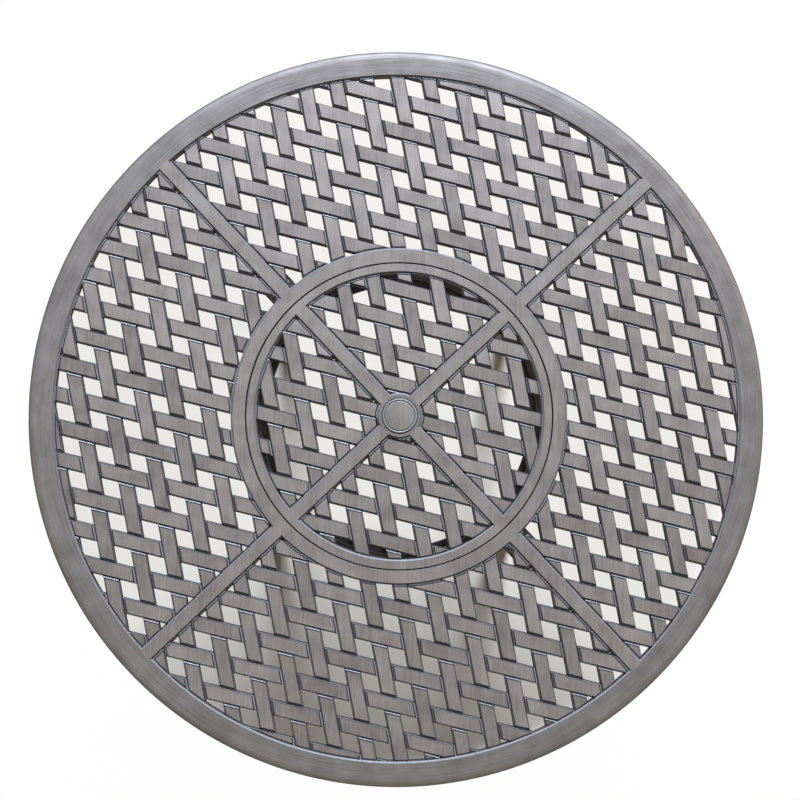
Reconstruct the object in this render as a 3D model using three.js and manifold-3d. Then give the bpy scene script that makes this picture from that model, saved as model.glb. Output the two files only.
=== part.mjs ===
// Round patio umbrella table in cast aluminium: a basket-weave top with a turntable let into
// its middle, an umbrella hole with a collar and a cap, and four cast legs bolted underneath.
// Millimetres, +Z up. The origin is on the floor under the middle of the table.
// +X is the right and +Y the back. The spokes and the legs stand on the diagonals.

import * as THREE from 'three';
import { mergeVertices } from 'three/addons/utils/BufferGeometryUtils.js';
import Module from 'manifold-3d';

const wasm = await Module();
wasm.setup();

// Whole table
const tableDiameter = 1372;
const tableHeight = 730;
const clearGap = 0.3;
const cutOverrun = 2;
const cornerNames = ['back_right', 'back_left', 'front_left', 'front_right'];
const sideNames = ['right', 'back', 'left', 'front'];
const fullTurn = 2 * Math.PI;
const quarterTurn = fullTurn / 4;
const eighthTurn = fullTurn / 8;

// How finely round pieces are faceted
const largeSegments = 64;
const hubSegments = 32;
const smallSegments = 16;
const tinySegments = 12;
const edgeSteps = 3;

// Frame of the top: rim, ring and spokes stand a little above the lattice
const rimWidth = 49;
const rimEdgeRadius = 14;
const rimDepth = 35;
const rimWall = 6;
const rimLipRadius = 3;
const rimBevel = 3.5;
const castDepth = 14;
const latticeDepth = 9;
const latticeDrop = 2.5;
const frameBevel = 5.5;
const spokeWidth = 33;
const spokeDepth = 16;
const ribWidth = 9;
const ribDepth = 36;
const ribEndGap = 14;

// Basket weave: two families of strips that cross at a slant, alike about the diagonal
const weavePitch = 63.5;
const weaveAngle = THREE.MathUtils.degToRad(65);
const stripWidth = 29.5;
const panelBorder = 3;
const smallestOpeningShare = 0.3;

// Ring round the turntable, with the wall and the ledge of the recess under it
const recessRadius = 286;
const ringWidth = 28.5;
const recessWall = 6;
const ledgeWidth = 44;
const ledgeThickness = 5;

// Turntable
const runningGap = 3.5;
const turntableRimDepth = 16;
const turntableEdge = 1;
const turntableSpokeDepth = 14;
const turntableLatticeDepth = 9;
const skirtWall = 2.5;
const skirtFloorGap = 8;
const hubFlatWidth = 7;
const hubDepth = 30;
const hubFootWidth = 10;

// Umbrella hole: collar and cap
const poleHoleRadius = 25.4;
const collarWall = 2;
const collarDepth = 34;
const collarSeatDepth = 2.4;
const beadHeight = 1.4;
const beadEdge = 1;
const beadWidth = 4.9;
const capSeatWidth = 2.9;
const capSeatDrop = 1;
const capThickness = 2.5;
const capFaceHeight = 0.8;
const capPlugDepth = 18;
const capPlugWall = 2.5;

// Rollers that carry the turntable
const rollerCount = 6;
const rollerRadius = 10;
const rollerWidth = 8;
const rollerSideGap = 0.5;
const rollerFloorGap = 1.9;
const trackMargin = 1.75;
const axleRadius = 2.5;
const axleHeadRadius = 4;
const axleHeadThickness = 1.2;
const bracketWall = 1.5;
const bracketLength = 24;
const bracketLand = 5.5;
const rivetRadius = 3;
const rivetTail = 1.5;

// Legs, their mounting flanges and the pads they bolt to
const padThickness = 12;
const padLap = 1;
const flangeLength = 70;
const flangeThickness = 9;
const flangeLap = 2;
const flangeLip = 4;
const boltRadius = 4;
const boltReach = 13.5;
const boltTipDrop = 2;
const boltHeadRadius = 7.5;
const boltHeadHeight = 5.3;
const boltHeadSides = 6;
const boltHeadClearance = 0.5;
const legThickness = 24;
const legWaistWidth = 30;
const legFootWidth = 44;
const legWaistRadius = 290;
const legFootRadius = 400;
const legSteps = 12;

// Leg centre line from the floor up: share of the leg's height, then share of the way out
// from the waist to the foot below the waist, and from the waist to the flange above it.
const lowerLegShares = [[0, 1], [0.08, 0.84], [0.22, 0.42], [0.38, 0.11]];
const waistHeightShare = 0.55;
const upperLegShares = [[0.72, 0.14], [0.88, 0.55], [1, 1]];

// Foot glides
const glideRadius = 15;
const glideHeight = 6;
const glideEdge = 2;
const glideStemRadius = 5;
const glideStemLength = 10;

// Places worked out from the sizes above
const rimOuterRadius = tableDiameter / 2;
const rimInnerRadius = rimOuterRadius - rimWidth;
const ringOuterRadius = recessRadius + ringWidth;
const axleHeight = -(turntableRimDepth + clearGap + rollerRadius);
const axleHoleRadius = axleRadius + clearGap;
const rivetHoleRadius = rivetRadius + clearGap;
const bracketHalfWidth = rollerWidth / 2 + rollerSideGap + bracketWall;
const bracketFloor = axleHeight - rollerRadius - rollerFloorGap - bracketWall;
const recessDepth = clearGap - bracketFloor;
const turntableRadius = recessRadius - runningGap;
const trackRadius = turntableRadius - trackMargin - bracketHalfWidth;
const skirtOuterRadius = trackRadius - bracketHalfWidth - trackMargin;
const skirtBottom = skirtFloorGap - recessDepth;
const turntableInnerRadius = skirtOuterRadius - skirtWall;
const flangeStart = recessRadius + recessWall + clearGap;
const flangeEnd = flangeStart + flangeLength;
const flangeTop = -(spokeDepth - padLap + padThickness + clearGap);
const boltCircle = ringOuterRadius + boltReach;
const boltHoleRadius = boltRadius + clearGap;
const boltSeatRadius = boltHeadRadius + boltHeadClearance;
const boltSpread = legThickness + 2 * boltSeatRadius;
const flangeWidth = boltSpread + 2 * boltSeatRadius;
const legTopWidth = flangeLength - 2 * flangeLip;
const collarOuterRadius = poleHoleRadius + collarWall;
const collarBoreRadius = collarOuterRadius + clearGap;
const capSeatRadius = poleHoleRadius + capSeatWidth;
const collarFlangeRadius = capSeatRadius + beadWidth;
const collarFlangeBottom = clearGap - collarSeatDepth;
const collarSeatRadius = collarFlangeRadius + clearGap;
const hubRadius = collarSeatRadius + hubFlatWidth + frameBevel;

// Finishes
const finish = (color, roughness, metalness) =>
  new THREE.MeshStandardMaterial({ color, roughness, metalness });
const castFinish = finish('#8b888b', 0.5, 0.6);
const legFinish = finish('#6f6c6c', 0.55, 0.6);
const steelFinish = finish('#b9bbbd', 0.35, 0.9);
const nylonFinish = finish('#26262a', 0.6, 0);

const xAxis = new THREE.Vector3(1, 0, 0);
const yAxis = new THREE.Vector3(0, 1, 0);
const zAxis = new THREE.Vector3(0, 0, 1);

// A closed triangle mesh as a solid, without the triangles that collapse on the axis of a lathe
function solidOf(geometry) {
  const bare = geometry.clone();
  bare.deleteAttribute('normal');
  bare.deleteAttribute('uv');
  const merged = mergeVertices(bare);
  const corners = merged.index.array;
  const kept = [];
  for (let k = 0; k < corners.length; k += 3) {
    const [a, b, c] = corners.slice(k, k + 3);
    if (a !== b && b !== c && c !== a) kept.push(a, b, c);
  }
  return new wasm.Manifold(new wasm.Mesh({
    numProp: 3,
    vertProperties: new Float32Array(merged.attributes.position.array),
    triVerts: new Uint32Array(kept),
  }));
}

function geometryOf(solid) {
  const mesh = solid.getMesh();
  const geometry = new THREE.BufferGeometry();
  geometry.setAttribute('position', new THREE.BufferAttribute(new Float32Array(mesh.vertProperties), 3));
  geometry.setIndex(new THREE.BufferAttribute(new Uint32Array(mesh.triVerts), 1));
  return geometry;
}

// Prism over an outline of [x, y] points, from one height to another
function prism(points, low, high) {
  const shape = new THREE.Shape(points.map(([x, y]) => new THREE.Vector2(x, y)));
  const geometry = new THREE.ExtrudeGeometry(shape, { depth: high - low, bevelEnabled: false });
  return solidOf(geometry.translate(0, 0, low));
}

// Bar along +X over an outline of [across, height] points
function bar(points, start, end) {
  const shape = new THREE.Shape(points.map(([y, z]) => new THREE.Vector2(y, z)));
  const geometry = new THREE.ExtrudeGeometry(shape, { depth: end - start, bevelEnabled: false });
  geometry.applyMatrix4(new THREE.Matrix4().makeBasis(yAxis, zAxis, xAxis));
  return solidOf(geometry.translate(start, 0, 0));
}

// Plate in the XZ plane over an outline of [x, z] points, with its thickness centred on y = 0
function uprightPlate(points, thickness) {
  const shape = new THREE.Shape(points.map(([x, z]) => new THREE.Vector2(x, z)));
  const geometry = new THREE.ExtrudeGeometry(shape, { depth: thickness, bevelEnabled: false });
  geometry.applyMatrix4(new THREE.Matrix4().makeBasis(xAxis, zAxis, yAxis.clone().negate()));
  return solidOf(geometry.translate(0, thickness / 2, 0));
}

// Round solid about +Z from [radius, height] points that run up the outside
function turned(points, segments) {
  const profile = points.map(([radius, height]) => new THREE.Vector2(radius, height));
  if (points[0][0] > 0) profile.push(profile[0].clone());
  return solidOf(new THREE.LatheGeometry(profile, segments).rotateX(quarterTurn));
}

function rectangle(lowX, highX, lowY, highY) {
  return [[lowX, lowY], [highX, lowY], [highX, highY], [lowX, highY]];
}

function verticalRod(radius, low, high, x, y, segments) {
  const rod = turned([[0, low], [radius, low], [radius, high], [0, high]], segments);
  return rod.translate([x, y, 0]);
}

function addPiece(group, name, solid, material) {
  const piece = new THREE.Mesh(geometryOf(solid), material);
  piece.name = name;
  group.add(piece);
  return piece;
}

// Rim: flat on top, rolled over at the outer edge, hollow underneath behind its lip
function rimSolid() {
  const points = [[rimOuterRadius - rimWall, -castDepth], [rimOuterRadius - rimWall, -rimDepth]];
  points.push([rimOuterRadius - rimLipRadius, -rimDepth]);
  points.push([rimOuterRadius, rimLipRadius - rimDepth]);
  for (let k = 0; k <= edgeSteps; k += 1) {
    const turn = (quarterTurn * k) / edgeSteps;
    const radius = rimOuterRadius - rimEdgeRadius * (1 - Math.cos(turn));
    points.push([radius, -rimEdgeRadius * (1 - Math.sin(turn))]);
  }
  points.push([rimInnerRadius + rimBevel, 0]);
  points.push([rimInnerRadius, -latticeDrop]);
  points.push([rimInnerRadius, -castDepth]);
  return turned(points, largeSegments);
}

// Ring: the flat round the turntable, the recess wall and the ledge, drilled for the brackets
function recessRingSolid() {
  const wallOuterRadius = recessRadius + recessWall;
  const ledgeInnerRadius = recessRadius - ledgeWidth;
  let ring = turned([
    [ledgeInnerRadius, -recessDepth - ledgeThickness],
    [wallOuterRadius, -recessDepth - ledgeThickness],
    [wallOuterRadius, -castDepth],
    [ringOuterRadius, -castDepth],
    [ringOuterRadius, -latticeDrop],
    [ringOuterRadius - frameBevel, 0],
    [recessRadius, 0],
    [recessRadius, -recessDepth],
    [ledgeInnerRadius, -recessDepth],
  ], largeSegments);
  for (let k = 0; k < rollerCount; k += 1) {
    const turn = (fullTurn * k) / rollerCount;
    const low = -recessDepth - ledgeThickness - cutOverrun;
    const high = cutOverrun - recessDepth;
    const x = trackRadius * Math.cos(turn);
    const y = trackRadius * Math.sin(turn);
    ring = ring.subtract(verticalRod(rivetHoleRadius, low, high, x, y, tinySegments));
  }
  return ring;
}

// Spoke bar: flat on top with a bevel down each side to the lattice
function spokeBar(depth, start, end) {
  const half = spokeWidth / 2;
  return bar([
    [-half, -depth],
    [half, -depth],
    [half, -latticeDrop],
    [half - frameBevel, 0],
    [frameBevel - half, 0],
    [-half, -latticeDrop],
  ], start, end);
}

// Spoke of the top: the bar, a stiffening rib under it and the leg's bolting pad at its root
function spokeSolid() {
  const facetRadius = rimInnerRadius * Math.cos(Math.PI / largeSegments) - clearGap;
  const start = ringOuterRadius + clearGap;
  const end = Math.sqrt(facetRadius ** 2 - (spokeWidth / 2) ** 2);
  const ribPoints = rectangle(-ribWidth / 2, ribWidth / 2, -ribDepth, padLap - spokeDepth);
  const rib = bar(ribPoints, flangeEnd + clearGap, end - ribEndGap);
  const padTop = padLap - spokeDepth;
  const padPoints = rectangle(start, flangeEnd, -flangeWidth / 2, flangeWidth / 2);
  const pad = prism(padPoints, padTop - padThickness, padTop);
  let spoke = spokeBar(spokeDepth, start, end).add(rib).add(pad);
  for (const side of [-1, 1]) {
    const low = padTop - padThickness - cutOverrun;
    const high = padTop + cutOverrun;
    const y = (side * boltSpread) / 2;
    spoke = spoke.subtract(verticalRod(boltHoleRadius, low, high, boltCircle, y, tinySegments));
  }
  return spoke;
}

// Outline between two spokes and two circles, about the direction given by turn.
// The sides keep a distance from the diagonals through the middle of the table.
function sectorPoints(innerRadius, outerRadius, sideDistance, turn, steps) {
  const points = [];
  const arc = (radius, direction) => {
    const spread = eighthTurn - Math.asin(sideDistance / radius);
    for (let k = 0; k <= steps; k += 1) {
      const angle = turn + direction * spread * ((2 * k) / steps - 1);
      points.push([radius * Math.cos(angle), radius * Math.sin(angle)]);
    }
  };
  arc(outerRadius, 1);
  arc(innerRadius, -1);
  return points;
}

// Lattice panel: a plate with the slanted openings that the woven strips leave
function latticeSolid(innerRadius, outerRadius, sideDistance, depth, turn, steps) {
  const strip = stripWidth / (weavePitch * Math.sin(weaveAngle));
  const half = (1 - strip) / 2;
  const lowAngle = -eighthTurn + weaveAngle / 2;
  const steepAngle = -eighthTurn - weaveAngle / 2;
  const shallow = new THREE.Vector2(Math.cos(lowAngle), Math.sin(lowAngle)).multiplyScalar(weavePitch);
  const steep = new THREE.Vector2(Math.cos(steepAngle), Math.sin(steepAngle)).multiplyScalar(weavePitch);
  const at = (i, j) => [i * shallow.x + j * steep.x, i * shallow.y + j * steep.y];
  const outline = sectorPoints(innerRadius, outerRadius, sideDistance, turn, steps);
  const insideOutline = sectorPoints(
    innerRadius + panelBorder,
    outerRadius - panelBorder,
    sideDistance + panelBorder,
    turn,
    steps,
  );
  let panel = prism(outline, -depth, -latticeDrop);
  const inside = prism(insideOutline, -depth - cutOverrun, cutOverrun);
  const reach = Math.ceil((2 * outerRadius) / weavePitch);
  for (let i = -reach; i <= reach; i += 1) {
    for (let j = -reach; j <= reach; j += 1) {
      const [x, y] = at(i + 0.5, j + 0.5);
      const onThisSide = x * Math.cos(turn) + y * Math.sin(turn) > 0;
      if (!onThisSide || Math.hypot(x, y) > outerRadius + weavePitch / 2) continue;
      const corners = [[-half, -half], [half, -half], [half, half], [-half, half]];
      const points = corners.map(([u, v]) => at(i + 0.5 + u, j + 0.5 + v));
      const opening = prism(points, -depth - cutOverrun, cutOverrun);
      const kept = opening.intersect(inside);
      if (kept.volume() > smallestOpeningShare * opening.volume()) panel = panel.subtract(kept);
    }
  }
  return panel;
}

// Turntable rim: a flat band with a track underneath and a skirt that keeps it centred
function turntableRimSolid() {
  return turned([
    [turntableInnerRadius, skirtBottom],
    [skirtOuterRadius, skirtBottom],
    [skirtOuterRadius, -turntableRimDepth],
    [turntableRadius, -turntableRimDepth],
    [turntableRadius, -turntableEdge],
    [turntableRadius - turntableEdge, 0],
    [turntableInnerRadius + frameBevel, 0],
    [turntableInnerRadius, -latticeDrop],
  ], largeSegments);
}

function hubSolid() {
  return turned([
    [collarBoreRadius, -hubDepth],
    [hubRadius - hubFootWidth, -hubDepth],
    [hubRadius, -turntableSpokeDepth],
    [hubRadius, -latticeDrop],
    [hubRadius - frameBevel, 0],
    [collarSeatRadius, 0],
    [collarSeatRadius, -collarSeatDepth],
    [collarBoreRadius, -collarSeatDepth],
  ], hubSegments);
}

// Collar: a sleeve that lines the umbrella hole, under a flange with a raised bead
function collarSolid() {
  return turned([
    [poleHoleRadius, -collarDepth],
    [collarOuterRadius, -collarDepth],
    [collarOuterRadius, collarFlangeBottom],
    [collarFlangeRadius, collarFlangeBottom],
    [collarFlangeRadius, beadHeight - beadEdge],
    [collarFlangeRadius - beadEdge, beadHeight],
    [capSeatRadius + beadEdge, beadHeight],
    [capSeatRadius, beadHeight - beadEdge],
    [capSeatRadius, -capSeatDrop],
    [poleHoleRadius, -capSeatDrop],
  ], hubSegments);
}

// Cap: a flat disc on the collar's shoulder, with a hollow plug in the hole
function capSolid() {
  const discRadius = capSeatRadius - clearGap;
  const discBottom = clearGap - capSeatDrop;
  const plugRadius = poleHoleRadius - clearGap;
  const plugInnerRadius = plugRadius - capPlugWall;
  return turned([
    [0, capFaceHeight - capThickness],
    [plugInnerRadius, capFaceHeight - capThickness],
    [plugInnerRadius, -capPlugDepth],
    [plugRadius, -capPlugDepth],
    [plugRadius, discBottom],
    [discRadius, discBottom],
    [discRadius, capFaceHeight],
    [0, capFaceHeight],
  ], hubSegments);
}

function rollerSolid() {
  const half = rollerWidth / 2;
  return turned([
    [axleHoleRadius, -half],
    [rollerRadius, -half],
    [rollerRadius, half],
    [axleHoleRadius, half],
  ], smallSegments);
}

function axleSolid() {
  const end = bracketHalfWidth + clearGap;
  return turned([
    [0, -end],
    [axleRadius, -end],
    [axleRadius, end],
    [axleHeadRadius, end],
    [axleHeadRadius, end + axleHeadThickness],
    [0, end + axleHeadThickness],
  ], tinySegments);
}

// Bracket: a channel across the roller, riveted through the ledge
function bracketSolid() {
  const low = bracketFloor;
  const high = axleHeight + bracketLand;
  const inner = bracketHalfWidth - bracketWall;
  const outline = [
    [-bracketHalfWidth, low],
    [bracketHalfWidth, low],
    [bracketHalfWidth, high],
    [inner, high],
    [inner, low + bracketWall],
    [-inner, low + bracketWall],
    [-inner, high],
    [-bracketHalfWidth, high],
  ];
  const channel = uprightPlate(outline, bracketLength);
  const rivetLow = -recessDepth - ledgeThickness - rivetTail;
  const rivet = verticalRod(rivetRadius, rivetLow, low + bracketWall / 2, 0, 0, tinySegments);
  const halfBore = bracketHalfWidth + cutOverrun;
  const bore = turned([
    [0, -halfBore],
    [axleHoleRadius, -halfBore],
    [axleHoleRadius, halfBore],
    [0, halfBore],
  ], tinySegments).rotate([0, 90, 0]).translate([0, 0, axleHeight]);
  return channel.add(rivet).subtract(bore);
}

// Leg side view: [radius, height] points up the outer edge and back down the inner edge
function legOutline(bottom, top) {
  const flangeMiddle = flangeStart + flangeLength / 2;
  const height = top - bottom;
  const knot = (share, radius, width) => new THREE.Vector3(radius, bottom + share * height, width);
  const between = (from, to, share) => from + (to - from) * share;
  const knots = [
    ...lowerLegShares.map(([up, out]) => knot(
      up,
      between(legWaistRadius, legFootRadius, out),
      between(legWaistWidth, legFootWidth, out),
    )),
    knot(waistHeightShare, legWaistRadius, legWaistWidth),
    ...upperLegShares.map(([up, out]) => knot(
      up,
      between(legWaistRadius, flangeMiddle, out),
      between(legWaistWidth, legTopWidth, out),
    )),
  ];
  const line = new THREE.CatmullRomCurve3(knots).getPoints(legSteps);
  const outer = line.map((p) => [p.x + p.z / 2, p.y]);
  const inner = line.map((p) => [p.x - p.z / 2, p.y]).reverse();
  return [...outer, ...inner];
}

// Leg: an upright curved casting with its bolting flange on top and a socket for the glide
function legSolid() {
  const bottom = glideHeight + clearGap;
  const flangeHigh = tableHeight + flangeTop;
  const flangeLow = flangeHigh - flangeThickness;
  const blade = uprightPlate(legOutline(bottom, flangeLow + flangeLap), legThickness);
  const flangePoints = rectangle(flangeStart, flangeEnd, -flangeWidth / 2, flangeWidth / 2);
  let leg = blade.add(prism(flangePoints, flangeLow, flangeHigh));
  for (const side of [-1, 1]) {
    const y = (side * boltSpread) / 2;
    const low = flangeLow - cutOverrun;
    const high = flangeHigh + cutOverrun;
    leg = leg.subtract(verticalRod(boltHoleRadius, low, high, boltCircle, y, tinySegments));
  }
  const socketTop = glideHeight + glideStemLength + clearGap;
  const socketRadius = glideStemRadius + clearGap;
  return leg.subtract(verticalRod(socketRadius, 0, socketTop, legFootRadius, 0, tinySegments));
}

function boltSolid() {
  const headTop = flangeTop - flangeThickness - clearGap;
  const tip = padLap - spokeDepth - boltTipDrop;
  const shank = verticalRod(boltRadius, headTop - boltHeadHeight / 2, tip, 0, 0, tinySegments);
  return shank.add(verticalRod(boltHeadRadius, headTop - boltHeadHeight, headTop, 0, 0, boltHeadSides));
}

function glideSolid() {
  return turned([
    [0, 0],
    [glideRadius - glideEdge, 0],
    [glideRadius, glideEdge],
    [glideRadius, glideHeight],
    [glideStemRadius, glideHeight],
    [glideStemRadius, glideHeight + glideStemLength],
    [0, glideHeight + glideStemLength],
  ], smallSegments);
}

// Assembly
const table = new THREE.Group();
const top = new THREE.Group();
top.position.z = tableHeight;
table.add(top);

addPiece(top, 'rim', rimSolid(), castFinish);
addPiece(top, 'recess_ring', recessRingSolid(), castFinish);

const spoke = spokeSolid();
const leg = legSolid();
const bolt = boltSolid();
const glide = glideSolid();
const turntableFacet = Math.cos(Math.PI / largeSegments);
const turntableSpoke = spokeBar(
  turntableSpokeDepth,
  hubRadius + clearGap,
  Math.sqrt((turntableInnerRadius * turntableFacet - clearGap) ** 2 - (spokeWidth / 2) ** 2),
);
cornerNames.forEach((corner, k) => {
  const upper = new THREE.Group();
  upper.rotation.z = eighthTurn + k * quarterTurn;
  top.add(upper);
  addPiece(upper, `spoke_${corner}`, spoke, castFinish);
  addPiece(upper, `turntable_spoke_${corner}`, turntableSpoke, castFinish);
  addPiece(upper, `leg_bolt_${corner}_1`, bolt, steelFinish).position.set(boltCircle, -boltSpread / 2, 0);
  addPiece(upper, `leg_bolt_${corner}_2`, bolt, steelFinish).position.set(boltCircle, boltSpread / 2, 0);
  const lower = new THREE.Group();
  lower.rotation.z = upper.rotation.z;
  table.add(lower);
  addPiece(lower, `leg_${corner}`, leg, legFinish);
  addPiece(lower, `foot_glide_${corner}`, glide, nylonFinish).position.x = legFootRadius;
});

// The openings follow one weave across the whole top, so each panel is cut where it lies
sideNames.forEach((side, k) => {
  const turn = k * quarterTurn;
  const sideDistance = spokeWidth / 2 + clearGap;
  const arcSteps = largeSegments / sideNames.length;
  const arcFacet = Math.cos(eighthTurn / arcSteps);
  const outerPanel = latticeSolid(
    (ringOuterRadius + clearGap) / arcFacet,
    rimInnerRadius * turntableFacet - clearGap,
    sideDistance,
    latticeDepth,
    turn,
    arcSteps,
  );
  addPiece(top, `lattice_${side}`, outerPanel, castFinish);
  const innerPanel = latticeSolid(
    (hubRadius + clearGap) / arcFacet,
    turntableInnerRadius * turntableFacet - clearGap,
    sideDistance,
    turntableLatticeDepth,
    turn,
    arcSteps,
  );
  addPiece(top, `turntable_lattice_${side}`, innerPanel, castFinish);
});

addPiece(top, 'turntable_rim', turntableRimSolid(), castFinish);
addPiece(top, 'turntable_hub', hubSolid(), castFinish);
addPiece(top, 'umbrella_collar', collarSolid(), castFinish);
addPiece(top, 'umbrella_cap', capSolid(), castFinish);

const roller = rollerSolid();
const axle = axleSolid();
const bracket = bracketSolid();
for (let k = 0; k < rollerCount; k += 1) {
  const station = new THREE.Group();
  station.rotation.z = (fullTurn * k) / rollerCount;
  top.add(station);
  addPiece(station, `roller_bracket_${k + 1}`, bracket, steelFinish).position.x = trackRadius;
  const turning = new THREE.Group();
  turning.position.set(trackRadius, 0, axleHeight);
  turning.rotation.y = quarterTurn;
  station.add(turning);
  addPiece(turning, `roller_${k + 1}`, roller, nylonFinish);
  addPiece(turning, `roller_axle_${k + 1}`, axle, steelFinish);
}

export default table;
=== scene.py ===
# Round patio umbrella table in cast aluminium with a brushed antique finish.
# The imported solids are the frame. The woven top, the rings, the spokes, the legs and the
# hardware are modelled here over them, and each piece rides on its solid's body.

import math
import random

import bmesh
import bpy
from mathutils import Matrix, Vector


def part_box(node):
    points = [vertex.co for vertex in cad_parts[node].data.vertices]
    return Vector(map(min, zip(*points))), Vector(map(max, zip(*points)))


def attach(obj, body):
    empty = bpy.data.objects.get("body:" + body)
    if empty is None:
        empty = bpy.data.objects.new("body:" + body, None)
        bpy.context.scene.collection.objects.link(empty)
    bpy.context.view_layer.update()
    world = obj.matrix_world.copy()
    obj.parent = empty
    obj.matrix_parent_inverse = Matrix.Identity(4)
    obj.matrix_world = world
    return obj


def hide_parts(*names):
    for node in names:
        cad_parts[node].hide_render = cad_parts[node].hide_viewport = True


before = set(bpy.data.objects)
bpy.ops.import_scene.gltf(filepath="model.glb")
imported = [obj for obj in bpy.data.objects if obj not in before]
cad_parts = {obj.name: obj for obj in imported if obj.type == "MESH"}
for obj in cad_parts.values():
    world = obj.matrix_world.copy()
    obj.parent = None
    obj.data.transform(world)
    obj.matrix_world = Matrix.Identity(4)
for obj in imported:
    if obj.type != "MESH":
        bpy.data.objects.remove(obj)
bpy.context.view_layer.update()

# Lengths are in millimetres. Heights of the top's pieces count from the plane of its flats.
MM = 0.001
SIDES = ["right", "back", "left", "front"]
CORNERS = ["back_right", "back_left", "front_left", "front_right"]
ROLLERS = 6
QUARTER = math.pi / 2
EIGHTH = math.pi / 4
UP = Vector((0, 0, 1))


def widest(node):
    """Largest X of a node's solid, which is the radius of a round one."""
    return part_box(node)[1].x / MM


TABLE_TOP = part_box("rim")[1].z / MM
TABLE_RADIUS = widest("rim")
RING_RADIUS = widest("recess_ring")
HUB_RADIUS = widest("turntable_hub")
COLLAR_RADIUS = widest("umbrella_collar")
BEAD_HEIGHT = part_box("umbrella_collar")[1].z / MM - TABLE_TOP

# Fineness of round pieces. A fillet takes no more than about half of a side beside it.
FINE_TURN = 256
SMALL_TURN = 96
TINY_TURN = 40
FILLET_STEPS = 4
FILLET_SIDE_PARTS = 2.01
SMOOTH_BELOW = math.radians(34)
SOFTEN_OVER = math.radians(50)

# Tolerances of the mesh work
CUT_REACH = 1e-4
MERGE_REACH = 0.001
FLAT_WITHIN = math.radians(1)
PLACE_DIGITS = 3
LEAST_AREA = 0.01

# Frame of the top. A V groove runs between every flat and the weave beside it. The rim's roll
# is cut short at half of the rim's depth.
CAST_DEPTH = 14
GROOVE_DEPTH = 2.6
GROOVE_DRAFT = 0.3
FLAT_TO_GROOVE = 2.9
RAMP_WIDTH = 3.5
LINE_FILLET = 1.3
LINE_WIDTH = 0.9
LINE_DEPTH = 0.3
RIM_WIDTH = 49
RIM_ROLL = 31.5
RIM_DEPTH = 35
RIM_WALL = 6
RIM_GROOVE_RADIUS = 636.2
RIM_GROOVE_DRAFT = 0.1
RIM_DRAFT = 0.9
RING_GROOVE_RADIUS = 312.4
RING_DRAFT = 0.4
RECESS_RADIUS = 286
RECESS_WALL = 6
RECESS_DEPTH = 40
RECESS_GAP = 2.1
LEDGE_WIDTH = 39
LEDGE_THICKNESS = 5
SPOKE_GROOVE = 13.6
SPOKE_HALF = 16.5
SPOKE_START = 307.6
SPOKE_END = 641.6
SPOKE_SKIN = 0.05
SPOKE_CUT = 9.5
SPOKE_OVERLAP = 0.1
SPOKE_ROUND = 0.8

# Turntable
TURNTABLE_GROOVE_RADIUS = 266.5
TURNTABLE_DEPTH = 16
TURNTABLE_DRAFT = 2.2
TURNTABLE_ROOT = 4
TURNTABLE_SPOKE_DEPTH = 14
TURNTABLE_SPOKE_START = 38
TURNTABLE_SPOKE_END = 271.5
SKIRT_INNER = 258.5
SKIRT_WALL = 2.5
SKIRT_BOTTOM = -32
HUB_GROOVE_RADIUS = 42.4
HUB_DEPTH = 30
HUB_FOOT = 36
HUB_DRAFT = 0.5
HUB_SEAT_RADIUS = 33.5
HUB_SEAT_DEPTH = 2.4
HUB_SEAT_CHAMFER = 0.5
HUB_SEAT_EDGE = 0.6
HUB_BORE = 27.7

# Basket weave: shallow and steep strips that pass over and under each other. A strip's flat
# ends in a crest and a glazed band, and slopes from there down to its underside.
WEAVE_SEED = 7
WEAVE_PITCH = 63.5
WEAVE_DROP = 1.2
WEAVE_CENTRE = Vector((-0.1, -1.2, 0))
SHALLOW_ANGLE = math.radians(-12.5)
STEEP_ANGLE = math.radians(-77.5)
STRIP_HALF = 14.75
STRIP_FLAT_HALF = 11.5
STRIP_DEPTH = TABLE_TOP - WEAVE_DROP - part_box("lattice_right")[0].z / MM
CREST_INNER = 0.3
CREST_SIDE = 0.15
CREST_END = 0.2
CREST_DROP = 0.1
GLAZE_HALF = 12.4
GLAZE_DEPTH = 1.2
SLOPE_HALF = 12.9
SLOPE_DEPTH = 2.4
# The flat and the glazed band sit off centre, so the dark glazed band is wider on the side away from
# the key lamp, as painted shade. The lower outline shifts to that side too.
FLAT_SHIFT = 0.2
GLAZE_SHIFT = -0.1
SIDE_SHIFT = -0.5
END_TUCK = 0.6
END_RAMP = 4.1
END_LAP = 2.2
RING_WEDGE = math.radians(3)
HUB_WEDGE = math.radians(9)

# Material slots of a piece of the top. A seam is only there while a strip is being cut.
FACE, LINE, SLOPE, EDGE, SEAM = range(5)

# How far up a face of the frame points to be a flat, or the thin line beside it
FLAT_RISE = 0.985
LINE_RISE = 0.8

# Brushed finish. The real strokes are about 1 mm apart, and are drawn coarser so that they show.
STROKE = 3.4
STROKE_LENGTH = 95
STROKE_HEIGHT = 50
STROKE_RELIEF = 0.12
STROKE_SHARE = 0.5
PATCH = 46
STRIP_TONE = 0.2
ROUGHNESS_BELOW = 0.05
ROUGHNESS_ABOVE = 0.06
FAR_BELOW = -9000

# Sockets of a Mix node that hold its two colours and the mixed one
FIRST, SECOND, MIXED = 6, 7, 2

# Studio. A glow or an ambient level of 1 shows as pure white.
WHITE = (1, 1, 1, 1)
FLOOR_GLOW_UNDER = 0.02
FLOOR_GLOW_AROUND = 0.99
AMBIENT = 0.07


def to_linear(code):
    """Linear colour of an sRGB hex code."""
    parts = [int(code[k:k + 2], 16) / 255 for k in (1, 3, 5)]
    return [*(p / 12.92 if p <= 0.04045 else ((p + 0.055) / 1.055) ** 2.4 for p in parts), 1]


def flat_vector(angle):
    """Level unit vector at an angle from X."""
    return Vector((math.cos(angle), math.sin(angle), 0))


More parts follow.
